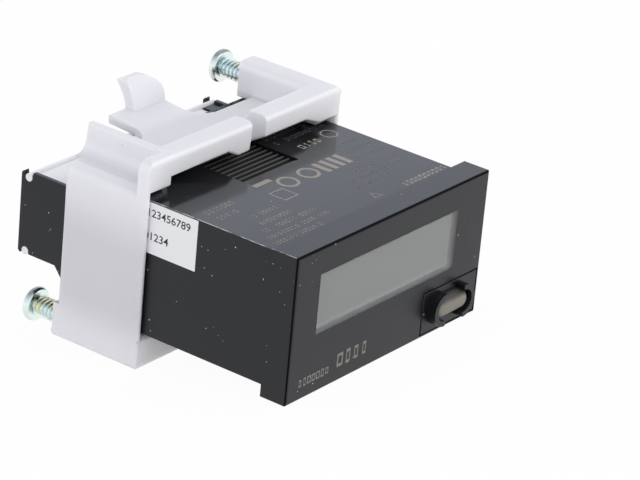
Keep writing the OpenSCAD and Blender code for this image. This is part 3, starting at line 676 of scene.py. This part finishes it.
def brushed_brass(name, tint):
    """Pressed brass with rolling marks and duller patches."""
    f = Finish(name)
    lines = f.streaks((600.0, 600.0, 16000.0), 3.0, 0.6)
    dull = f.noise(700.0, 3.0)
    shade = f.mix(dull, tint, [c * 0.72 for c in tint])
    return f.coat(shade, 0.26 + 0.16 * dull, lines, 0.005, 0.5, Metallic=1.0)


def sticker_paper(name, tint):
    """Coated paper, with fibres that barely show."""
    f = Finish(name)
    fibre = f.noise(3600.0, 4.0, 0.65)
    return f.coat(f.mix(fibre, *shades(tint, 0.96, 1.03)), 0.52 + 0.1 * fibre, fibre, 0.006, 0.4)


def ink(name, tint, cover):
    """Screen-printed ink with thin places, through which what is under it shows."""
    f = Finish(name)
    thin = f.noise(3800.0, 3.0, 0.6)
    return f.done(f.shader(Base_Color=f.mix(thin, *shades(tint, 0.75, 1.2)), Roughness=0.4 + 0.15 * thin,
                           Alpha=f.ease(thin, 0.2, 0.45, cover * 0.55, cover)))


def circuit_board(name, tint, across, along):
    """Solder mask over copper tracks, with tinned pads."""
    f = Finish(name)
    parts = dict(zip("xyz", f.axes()))
    u, v = parts[across], parts[along]
    wander = f.noise(260.0, 1.0)
    lane = f.lane(u + 0.0012 * (wander - 0.5), 1.27 * MM)
    track = (abs(lane - 0.5) < 0.16) * (f.noise(190.0, 1.0) > 0.46)
    row = abs(f.lane(v, 2.54 * MM) - 0.5)
    pad = (abs(lane - 0.5) < 0.3) * (row < 0.16) * (f.noise(240.0, 0.0) > 0.58)
    weave = f.noise(5200.0)
    mask = f.mix(track, tint, [min(c * 1.9 + 0.01, 1.0) for c in tint])
    raised = track * 0.6 + pad + 0.1 * weave
    return f.coat(f.mix(pad, mask, (0.62, 0.62, 0.58)), 0.32 + 0.1 * weave, raised, 0.02, Metallic=pad)


def chip_black(name):
    """Moulded chip package, with a dot at its first corner."""
    f = Finish(name)
    low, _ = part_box("counter_chip")
    x, y, _ = f.axes()
    dx, dy = x - (low.x + 1.0 * MM), y - (low.y + 1.0 * MM)
    dot = (dx * dx + dy * dy) < (0.4 * MM) ** 2
    grain = f.noise(8000.0, 3.0)
    shade = f.mix(dot, (0.018, 0.018, 0.019), (0.06, 0.06, 0.06))
    return f.coat(shade, 0.55 + 0.15 * grain - 0.2 * dot, grain, 0.01)


def chip_tan(name):
    """Ceramic bodies with tinned ends."""
    f = Finish(name)
    low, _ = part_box("chip_parts")
    place = ((f.axes()[0] - low.x) % (4 * MM)) / (2 * MM)
    end = abs(place - 0.5) > 0.28
    grain = f.noise(6000.0, 3.0)
    shade = f.mix(end, (0.4, 0.3, 0.18), (0.7, 0.7, 0.68))
    return f.coat(shade, 0.5 - 0.2 * end + 0.1 * grain, grain, 0.01, Metallic=end)


def cell_sleeve(name, tint, metal):
    """Shrink sleeve with bare metal at both ends and a pale band."""
    f = Finish(name)
    low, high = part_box("lithium_cell")
    x = f.axes()[0]
    middle, half = (low.x + high.x) / 2, (high.x - low.x) / 2
    away = abs(x - middle)
    end = away > half - 0.25 * MM
    band = (away > half - 3.2 * MM) * (away < half - 2.2 * MM)
    wrinkle = f.streaks((900.0, 160.0, 160.0), 3.0, 0.6)
    film = f.mix(band, tint, (0.62, 0.62, 0.6))
    return f.coat(f.mix(end, film, metal), 0.2 + 0.16 * wrinkle, wrinkle, 0.02, 0.5, Metallic=end)


def layered_strip(name):
    """Conductive rubber strip: dark and pink layers across its length."""
    f = Finish(name)
    lane = f.lane(f.axes()[0], 0.2 * MM)
    core = f.noise(3000.0)
    shade = f.mix(lane > 0.5, (0.56, 0.27, 0.3), (0.05, 0.045, 0.05))
    return f.coat(shade, 0.6 + 0.15 * core, core, 0.008)


def holder_plastic(name):
    """White moulded frame behind the display."""
    f = Finish(name)
    skin, flow = f.noise(5000.0), f.noise(140.0)
    return f.coat(f.mix(flow, (0.74, 0.74, 0.71), (0.82, 0.82, 0.8)), 0.45 + 0.12 * flow, skin, 0.008)


def carbon_pill(name):
    """Carbon-loaded rubber of the contact pill."""
    f = Finish(name)
    soot, wear_and_highlight = f.noise(9000.0, 3.0, 0.7), f.noise(1500.0)
    shade = f.mix(wear_and_highlight, (0.012, 0.012, 0.012), (0.035, 0.035, 0.037))
    return f.coat(shade, 0.62 + 0.15 * soot, soot, 0.01)


def header_black(name):
    """Moulded header with a tinned pin in each pitch."""
    f = Finish(name)
    lane = abs(f.lane(f.axes()[0], 2.0 * MM) - 0.5)
    pin = (lane < 0.13) * (abs(f.facing()[1]) > 0.5)
    grain = f.noise(7000.0)
    shade = f.mix(pin, (0.016, 0.016, 0.017), (0.66, 0.64, 0.58))
    return f.coat(shade, 0.48 - 0.2 * pin + 0.1 * grain, grain, 0.01, Metallic=pin)


# ---- operators

def chosen(context):
    """The scene's sizes and colours."""
    return context.scene.counter_sizes, context.scene.counter_colours


class COUNTER_OT_case(Operator):
    """Make the case with its bezel and ratchet, in black plastic with softened edges"""

    bl_idname = "counter.case"
    bl_label = "Case"

    def execute(self, context):
        sizes, tints = chosen(context)
        ratchet = (sizes.ratchet_half, sizes.ratchet_start, sizes.groove_floor - 0.2 * MM, sizes.ridge_crest)
        low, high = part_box("display_window")
        room = 0.4 * MM

        def crisp(v):
            """True at the back of the bezel, in the ratchet's channel and round the window's pocket."""
            round_x = low.x - room < v.co.x < high.x + room
            round_z = low.z - room < v.co.z < high.z + room
            channel = abs(v.co.x) < sizes.ratchet_half + 0.1 * MM and v.co.y > sizes.ratchet_start - room
            return abs(v.co.y) < 0.05 * MM or channel or (v.co.y < high.y + room and round_x and round_z)

        softened("case", sizes.case_edge, moulded_black("case_plastic", tints.case_black, 1.0, ratchet),
                 lambda edge: not all(crisp(v) for v in edge.verts))
        return {"FINISHED"}


class COUNTER_OT_display(Operator):
    """Finish the window, the display glass, its frame and its contact strips"""

    bl_idname = "counter.display"
    bl_label = "Display"

    def execute(self, context):
        sizes, tints = chosen(context)
        view = (-sizes.view_left, sizes.view_right, -sizes.view_bottom, sizes.view_top)
        low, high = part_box("display_window")
        seam = Vector((sizes.window_seam, 0.0, sizes.window_seam))
        brick("window_sheet", low - seam, high + seam, clear_window("window_plate", tints.case_black, view),
              "window_clear", "display_window")
        reflector = display_glass("display_reflector", tints.display_grey)
        dress("display_glass", reflector)
        film_low = Vector((low.x + sizes.view_rim, high.y + sizes.film_gap, low.z + sizes.view_rim))
        film_high = Vector((high.x - sizes.view_rim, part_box("display_glass")[0].y, high.z - sizes.view_rim))
        brick("display_film", film_low, film_high, reflector, "display_grey")
        dress("glass_holder", holder_plastic("holder_plastic"))
        dress("contact_strips", layered_strip("strip_layers"))
        return {"FINISHED"}


class COUNTER_OT_key(Operator):
    """Make the reset key, its surround with the collar horns, and the contact pill"""

    bl_idname = "counter.key"
    bl_label = "Reset Key"

    def execute(self, context):
        sizes, tints = chosen(context)
        low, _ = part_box("reset_key")
        softened("reset_key", sizes.key_edge, key_rubber("key_rubber", tints.key_grey),
                 lambda edge: all(v.co.y < low.y + 0.2 * MM for v in edge.verts), 8, 0.0)
        softened("key_surround", sizes.case_edge, moulded_black("surround_plastic", tints.case_black, 0.3))
        dress("contact_pill", carbon_pill("pill_rubber"))
        return {"FINISHED"}


class COUNTER_OT_adapter(Operator):
    """Make the mounting adapter in white nylon with softened edges"""

    bl_idname = "counter.adapter"
    bl_label = "Mounting Adapter"

    def execute(self, context):
        sizes, tints = chosen(context)
        softened("mounting_adapter", sizes.adapter_edge, nylon_white("adapter_nylon", tints.adapter_white))
        return {"FINISHED"}


class COUNTER_OT_clamp_screws(Operator):
    """Turn the two clamp screws, with real threads and cross recesses"""

    bl_idname = "counter.clamp_screws"
    bl_label = "Clamp Screws"

    def execute(self, context):
        sizes, tints = chosen(context)
        _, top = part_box("upper_clamp_screw")
        zinc = bright_zinc("screw_zinc", tints.zinc, tints.zinc_gold, top.y - CLAMP_HEAD)
        tree = Shape("clamp_screw", Material="Material", Length="Float", Crest="Float", Depth="Float",
                     Pitch="Float", Place="Vector")
        give = tree.given.out
        root = give("Crest") - give("Depth") / 2
        run = give("Length") - 0.9 * give("Pitch")
        path = tree.node("GeometryNodeCurveSpiral", sockets={
            "Resolution": 24, "Rotations": run / give("Pitch"), "Start Radius": root, "End Radius": root,
            "Height": run})
        path = tree.node("GeometryNodeSetCurveNormal", {"mode": "Z_UP"}, {0: path})
        ridge = tree.node("GeometryNodeCurvePrimitiveQuadrilateral", {"mode": "KITE"}, {
            "Width": give("Pitch") * 0.84, "Bottom Height": give("Depth") / 2, "Top Height": give("Depth") / 2})
        thread = tree.node("GeometryNodeCurveToMesh", sockets={
            "Curve": path, "Profile Curve": ridge, "Fill Caps": True})
        thread = tree.node("GeometryNodeTransform", sockets={
            0: thread, "Translation": tree.vector(0.0, 0.0, give("Pitch") * 0.6)})
        whole = tree.node("GeometryNodeTransform", sockets={
            0: tree.joined(tree.given, thread), "Translation": give("Place"), "Rotation": (-math.pi / 2, 0.0, 0.0)})
        tree.close(whole)
        for node in ("upper_clamp_screw", "lower_clamp_screw"):
            low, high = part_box(node)
            head = (high.x - low.x) / 2
            shank = high.y - low.y - CLAMP_HEAD
            outline = screw_profile(THREAD_RADIUS - sizes.thread_depth, shank, head, CLAMP_HEAD)
            base = cross_recess(turned(node + "_blank", outline, 64), high.y - low.y, sizes.recess_width,
                                sizes.recess_depth)
            place = (low.x + head, low.y, (low.z + high.z) / 2)
            piece = tree.piece(node + "_threaded", base, Material=zinc, Length=shank, Crest=THREAD_RADIUS,
                               Depth=sizes.thread_depth, Pitch=sizes.thread_pitch, Place=place)
            piece.data.set_sharp_from_angle(angle=math.radians(38))
            settle(piece, BODY_OF[node], SLOT_OF[node], node)
        return {"FINISHED"}


class COUNTER_OT_terminals(Operator):
    """Make the terminal block, its metal parts, its screws and the milky cover"""

    bl_idname = "counter.terminals"
    bl_label = "Terminals"

    def execute(self, context):
        sizes, tints = chosen(context)
        softened("terminal_block", sizes.case_edge, moulded_black("block_plastic", tints.case_black, 0.4))
        softened("terminal_cover", sizes.cover_edge, milky_cover("cover_milky", tints.cover_white))
        nickel = plated("terminal_nickel", tints.nickel, [c * 0.85 for c in tints.nickel], 0.22)
        dress("terminal_plates", brushed_brass("plate_brass", tints.brass))
        dress("terminal_washers", nickel)
        low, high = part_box("terminal_screws")
        width = high.z - low.z
        count = round((high.x - low.x - width) / TERMINAL_STEP) + 1
        tree = Shape("terminal_screws", Material="Material", Count="Int", Step="Float", Place="Vector")
        give = tree.given.out
        line = tree.node("GeometryNodeMeshLine", {"mode": "OFFSET"}, {
            "Count": give("Count"), "Start Location": give("Place"), "Offset": tree.vector(give("Step"), 0.0, 0.0)})
        turn = tree.random((0.0, 0.0, 0.0), (0.0, TERMINAL_TURN, 0.0), TERMINAL_SEED)
        tree.close(tree.node("GeometryNodeInstanceOnPoints", sockets={
            "Points": line, "Instance": tree.given, "Rotation": turn}))
        outline = screw_profile(TERMINAL_RADIUS, high.y - low.y - TERMINAL_HEAD, width / 2, TERMINAL_HEAD)
        base = cross_recess(turned("terminal_screw_blank", outline), high.y - low.y, 0.5 * width, 1.0 * MM)
        base.transform(Matrix.Rotation(-math.pi / 2, 4, "X"))
        place = (low.x + width / 2, low.y, (low.z + high.z) / 2)
        piece = tree.piece("terminal_screw_row", base, Material=nickel, Count=count, Step=TERMINAL_STEP,
                           Place=place)
        settle(piece, "counter", "terminal_steel", "terminal_screws")
        return {"FINISHED"}


class COUNTER_OT_inside(Operator):
    """Finish the boards and the parts on them inside the case"""

    bl_idname = "counter.inside"
    bl_label = "Inside"

    def execute(self, context):
        _, tints = chosen(context)
        dress("display_board", circuit_board("display_board_mask", tints.board_green, "x", "z"))
        dress("main_board", circuit_board("main_board_mask", tints.board_green, "x", "y"))
        dress("board_header", header_black("header_plastic"))
        dress("counter_chip", chip_black("chip_package"))
        dress("chip_parts", chip_tan("chip_ceramic"))
        dress("lithium_cell", cell_sleeve("cell_sleeve", tints.cell_blue, tints.nickel))
        dress("cell_tabs", plated("tab_nickel", tints.nickel, [c * 0.88 for c in tints.nickel], 0.24))
        return {"FINISHED"}


class COUNTER_OT_sticker(Operator):
    """Finish the sticker and print plain digits on it"""

    bl_idname = "counter.sticker"
    bl_label = "Sticker"

    def execute(self, context):
        sizes, tints = chosen(context)
        dress("serial_sticker", sticker_paper("sticker_paper", tints.sticker_white))
        low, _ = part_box("serial_sticker")
        bm = bmesh.new()
        for body, front, foot in (("0123456789", 16.35 * MM, 8.5 * MM), ("01234", 20.3 * MM, 4.75 * MM)):
            text = bpy.data.curves.new("digits", "FONT")
            text.body, text.align_x, text.offset = body, "LEFT", 0.008
            holder = new_object("digits", text)
            flat = evaluated(holder)
            bpy.data.objects.remove(holder)
            xs, ys = [v.co.x for v in flat.vertices], [v.co.y for v in flat.vertices]
            wide = sizes.digit_step * len(body) / (max(xs) - min(xs))
            tall = sizes.digit_height / (max(ys) - min(ys))
            end = max(xs)
            for vertex in flat.vertices:
                vertex.co = Vector((low.x - sizes.print_lift, front - (vertex.co.x - end) * wide,
                                    foot + (vertex.co.y - min(ys)) * tall))
            bm.from_mesh(flat)
        fixed("sticker_digits", bm, ink("digit_ink", tints.ink_black, 0.97), "sticker_white")
        return {"FINISHED"}


class COUNTER_OT_print(Operator):
    """Print rows of plain outlined blocks and simple marks on the case"""

    bl_idname = "counter.print"
    bl_label = "Print"

    def execute(self, context):
        sizes, tints = chosen(context)
        tree = Shape("print_rows", Material="Material", Step="Float", Seed="Int", Across="Vector", Turn="Vector")
        give = tree.given.out
        height, blocks = tree.attribute("height", "FLOAT"), tree.attribute("blocks", "INT")
        pitch = give("Step") * height / (1.0 * MM)
        copies = tree.node("GeometryNodeDuplicateElements", {"domain": "POINT"}, {
            "Geometry": tree.given, "Amount": blocks})
        place = tree.node("ShaderNodeVectorMath", {"operation": "SCALE"}, {
            0: give("Across"), "Scale": copies.out("Duplicate Index") * pitch})
        spread = tree.node("GeometryNodeSetPosition", sockets={0: copies, "Offset": place})
        gap = tree.node("FunctionNodeRandomValue", {"data_type": "BOOLEAN"}, {
            "Probability": PRINT_GAPS, "Seed": give("Seed")}, out=3)
        kept = tree.node("GeometryNodeDeleteGeometry", {"domain": "POINT"}, {0: spread, "Selection": gap})
        block = tree.node("GeometryNodeMeshGrid", sockets={
            "Size X": 1.0, "Size Y": 1.0, "Vertices X": 6, "Vertices Y": 6})
        spot = tree.node("ShaderNodeSeparateXYZ", sockets={0: tree.node("GeometryNodeInputPosition")}, out="X")
        block = tree.node("GeometryNodeDeleteGeometry", {"domain": "FACE"}, {
            0: block, "Selection": (abs(spot) < BLOCK_HOLLOW) * (abs(spot.out("Y")) < BLOCK_HOLLOW)})
        size = tree.node("ShaderNodeVectorMath", {"operation": "MULTIPLY"}, {
            0: tree.random(BLOCK_LEAST, BLOCK_MOST, give("Seed")), 1: tree.vector(pitch, height, 1.0)})
        tree.close(tree.node("GeometryNodeInstanceOnPoints", sockets={
            "Points": kept, "Instance": block, "Rotation": give("Turn"), "Scale": size}))

        top, lift = CASE_TOP, sizes.print_lift
        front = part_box("case")[0].y
        fields = {
            "print_front_row": (tints.print_pale, 0.7, (math.pi / 2, 0.0, 0.0), [
                ((-20.9, front / MM, -9.15), 7, 1.35), ((-11.3, front / MM, -8.4), 4, 2.5)]),
            "print_top_small": (tints.print_tan, 0.9, (0.0, 0.0, 0.0), [
                ((-20.6, 2.0, 0.0), 15, 0.95), ((-19.6, 3.9, 0.0), 18, 1.0), ((-18.4, 5.9, 0.0), 16, 1.0),
                ((-17.2, 7.9, 0.0), 10, 1.0), ((-15.2, 10.2, 0.0), 7, 1.0), ((-19.8, 13.2, 0.0), 5, 1.2),
                ((-19.8, 15.6, 0.0), 7, 1.2)]),
            "print_top_faint": (tints.print_grey, 0.9, (0.0, 0.0, 0.0), [
                ((3.4, 6.2, 0.0), 12, 1.1), ((4.6, 8.2, 0.0), 18, 1.1), ((7.2, 10.3, 0.0), 15, 1.1),
                ((14.0, 13.2, 0.0), 8, 1.1), ((14.4, 15.6, 0.0), 8, 1.1), ((15.4, 18.0, 0.0), 6, 1.1),
                ((8.8, 25.0, 0.0), 14, 1.1), ((8.8, 27.2, 0.0), 12, 1.1)]),
            "print_top_row": (tints.print_pale, 0.95, (0.0, 0.0, 0.0), [
                ((11.6, 2.2, 0.0), 10, 1.35), ((10.9, 21.6, 0.0), 4, 1.6)]),
        }
        for number, (name, (tint, cover, turn, rows)) in enumerate(fields.items()):
            base = bpy.data.meshes.new(name + "_rows")
            raised = Vector((0.0, 0.0, top + lift)) if turn[0] == 0 else Vector((0.0, -lift, 0.0))
            base.from_pydata([Vector(spot) * MM + raised for spot, _, _ in rows], [], [])
            base.attributes.new("blocks", "INT", "POINT").data.foreach_set("value", [n for _, n, _ in rows])
            base.attributes.new("height", "FLOAT", "POINT").data.foreach_set("value", [h * MM for _, _, h in rows])
            piece = tree.piece(name, base, Material=ink(name + "_ink", tint, cover), Step=sizes.print_step,
                               Seed=sizes.print_seed + number, Across=(1.0, 0.0, 0.0), Turn=turn)
            settle(piece, "counter", "case_black")
        self.marks(sizes, tints)
        return {"FINISHED"}

    def marks(self, sizes, tints):
        """Plain rings, bars, a square and a triangle between the rows."""
        bm = bmesh.new()
        z, many = CASE_TOP + sizes.print_lift, 40

        def corner(x, y):
            return bm.verts.new((x * MM, y * MM, z))

        def ring(x, y, radius, stroke, corners, turn=0.0):
            turns = [turn + 2 * math.pi * i / corners for i in range(corners)]
            outer, inner = ([corner(x + r * math.cos(a), y + r * math.sin(a)) for a in turns]
                            for r in (radius, radius - stroke))
            for i in range(corners):
                j = (i + 1) % corners
                bm.faces.new((outer[i], outer[j], inner[j], inner[i]))

        def block(x0, x1, y0, y1):
            bm.faces.new([corner(x, y) for x, y in ((x0, y0), (x1, y0), (x1, y1), (x0, y1))])

        ring(18.3, 22.0, 1.5, 0.3, many)
        ring(4.8, 2.7, 1.2, 0.25, 3, math.pi / 2)
        ring(3.6, 14.7, 1.9, 0.55, many)
        ring(-1.4, 14.7, 1.9, 0.55, many)
        ring(-5.6, 12.3, 2.3, 0.3, 4, math.pi / 4)
        block(-6.9, -2.9, 16.5, 17.5)
        for i in range(4):
            block(6.3 + 1.75 * i, 7.3 + 1.75 * i, 12.8, 16.4)
        fixed("print_top_marks", bm, ink("mark_ink", tints.print_pale, 0.8), "case_black")


class COUNTER_OT_stage(Operator):
    """Set up the floor, the soft light, the white surroundings and the camera"""

    bl_idname = "counter.stage"
    bl_label = "Stage"

    def execute(self, context):
        stage = context.scene.counter_stage
        context.scene.view_settings.view_transform = "Standard"
        self.floor(stage)
        self.light(stage)
        self.camera(stage)
        return {"FINISHED"}

    def floor(self, stage):
        """A plane under the bezel's lower edge and the lower lug, as the counter stands on a table."""
        f = Finish("floor_white")
        paper = f.node("ShaderNodeBsdfDiffuse", sockets={"Color": (0.86, 0.86, 0.86)})
        white = f.node("ShaderNodeEmission", sockets={"Color": (1.0, 1.0, 1.0), "Strength": 1.0})
        share = stage.floor_glow + f.shown() * (stage.floor_white - stage.floor_glow)
        mixed = f.blend(share, paper, white)
        low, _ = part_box("case")
        edge = Vector((0.0, low.y, low.z))
        along = (LUG_FOOT - edge).normalized()
        across = Vector((1.0, 0.0, 0.0))
        gap = across.cross(along).normalized() * -FLOOR_GAP
        bm = bmesh.new()
        bm.faces.new([bm.verts.new(edge + gap + (across * sx + along * sy) * FLOOR_REACH)
                      for sx, sy in ((-1, -1), (1, -1), (1, 1), (-1, 1))])
        new_object("floor", mesh_of(bm, "floor", f.done(mixed)))

    def light(self, stage):
        """Even white surroundings and one wide soft lamp over the front."""
        world = bpy.data.worlds.new("studio")
        bpy.context.scene.world = world
        world.use_nodes = True
        w = Nodes(world.node_tree)
        w.tree.nodes.clear()
        shown = w.shown()
        tint = w.node("ShaderNodeMix", {"data_type": "RGBA"}, {0: shown, 6: SKY_TINT, 7: SHOWN_TINT}, out=2)
        sky = w.node("ShaderNodeBackground", sockets={
            "Color": tint, "Strength": stage.sky + shown * (SHOWN_POWER - stage.sky)})
        w.node("ShaderNodeOutputWorld", sockets={"Surface": sky})
        lamp = bpy.data.lights.new("soft_lamp", "AREA")
        lamp.shape, lamp.size, lamp.energy = "DISK", LAMP_WIDTH, stage.lamp
        holder = new_object("soft_lamp", lamp)
        holder.location = LAMP_PLACE
        holder.rotation_euler = (LAMP_AIM - LAMP_PLACE).to_track_quat("-Z", "Y").to_euler()

    def camera(self, stage):
        """The photograph's view."""
        camera = bpy.data.cameras.new("view")
        camera.lens, camera.sensor_width = stage.lens, 36.0
        holder = new_object("view", camera)
        place = VIEW_AIM + VIEW_AXES[2] * stage.distance
        holder.matrix_world = Matrix.Translation(place) @ Matrix(VIEW_AXES).transposed().to_4x4()
        camera.clip_start, camera.clip_end = 0.01, 20.0
        bpy.context.scene.camera = holder


PIECES = (COUNTER_OT_case, COUNTER_OT_display, COUNTER_OT_key, COUNTER_OT_adapter, COUNTER_OT_clamp_screws,
          COUNTER_OT_terminals, COUNTER_OT_inside, COUNTER_OT_sticker, COUNTER_OT_print, COUNTER_OT_stage)


class COUNTER_PT_sidebar(Panel):
    """Lists the counter's sizes, colours and operators"""

    bl_idname = "COUNTER_PT_sidebar"
    bl_label = "Panel Counter"
    bl_space_type = "VIEW_3D"
    bl_region_type = "UI"
    bl_category = "Counter"

    def draw(self, context):
        scene = context.scene
        for group in (scene.counter_sizes, scene.counter_colours, scene.counter_stage):
            box = self.layout.box()
            for name in group.__annotations__:
                box.prop(group, name)
        for piece in PIECES:
            self.layout.operator(piece.bl_idname)


GROUPS = {"counter_sizes": CounterSizes, "counter_colours": CounterColours, "counter_stage": CounterStage}


def register():
    for made in (*GROUPS.values(), *PIECES, COUNTER_PT_sidebar):
        bpy.utils.register_class(made)
    for name, group in GROUPS.items():
        setattr(bpy.types.Scene, name, PointerProperty(type=group))


def unregister():
    for name in GROUPS:
        delattr(bpy.types.Scene, name)
    for made in reversed((*GROUPS.values(), *PIECES, COUNTER_PT_sidebar)):
        bpy.utils.unregister_class(made)


def main():
    register()
    for piece in PIECES:
        getattr(bpy.ops.counter, piece.bl_idname.split(".")[1])()


if __name__ == "__main__":
    main()
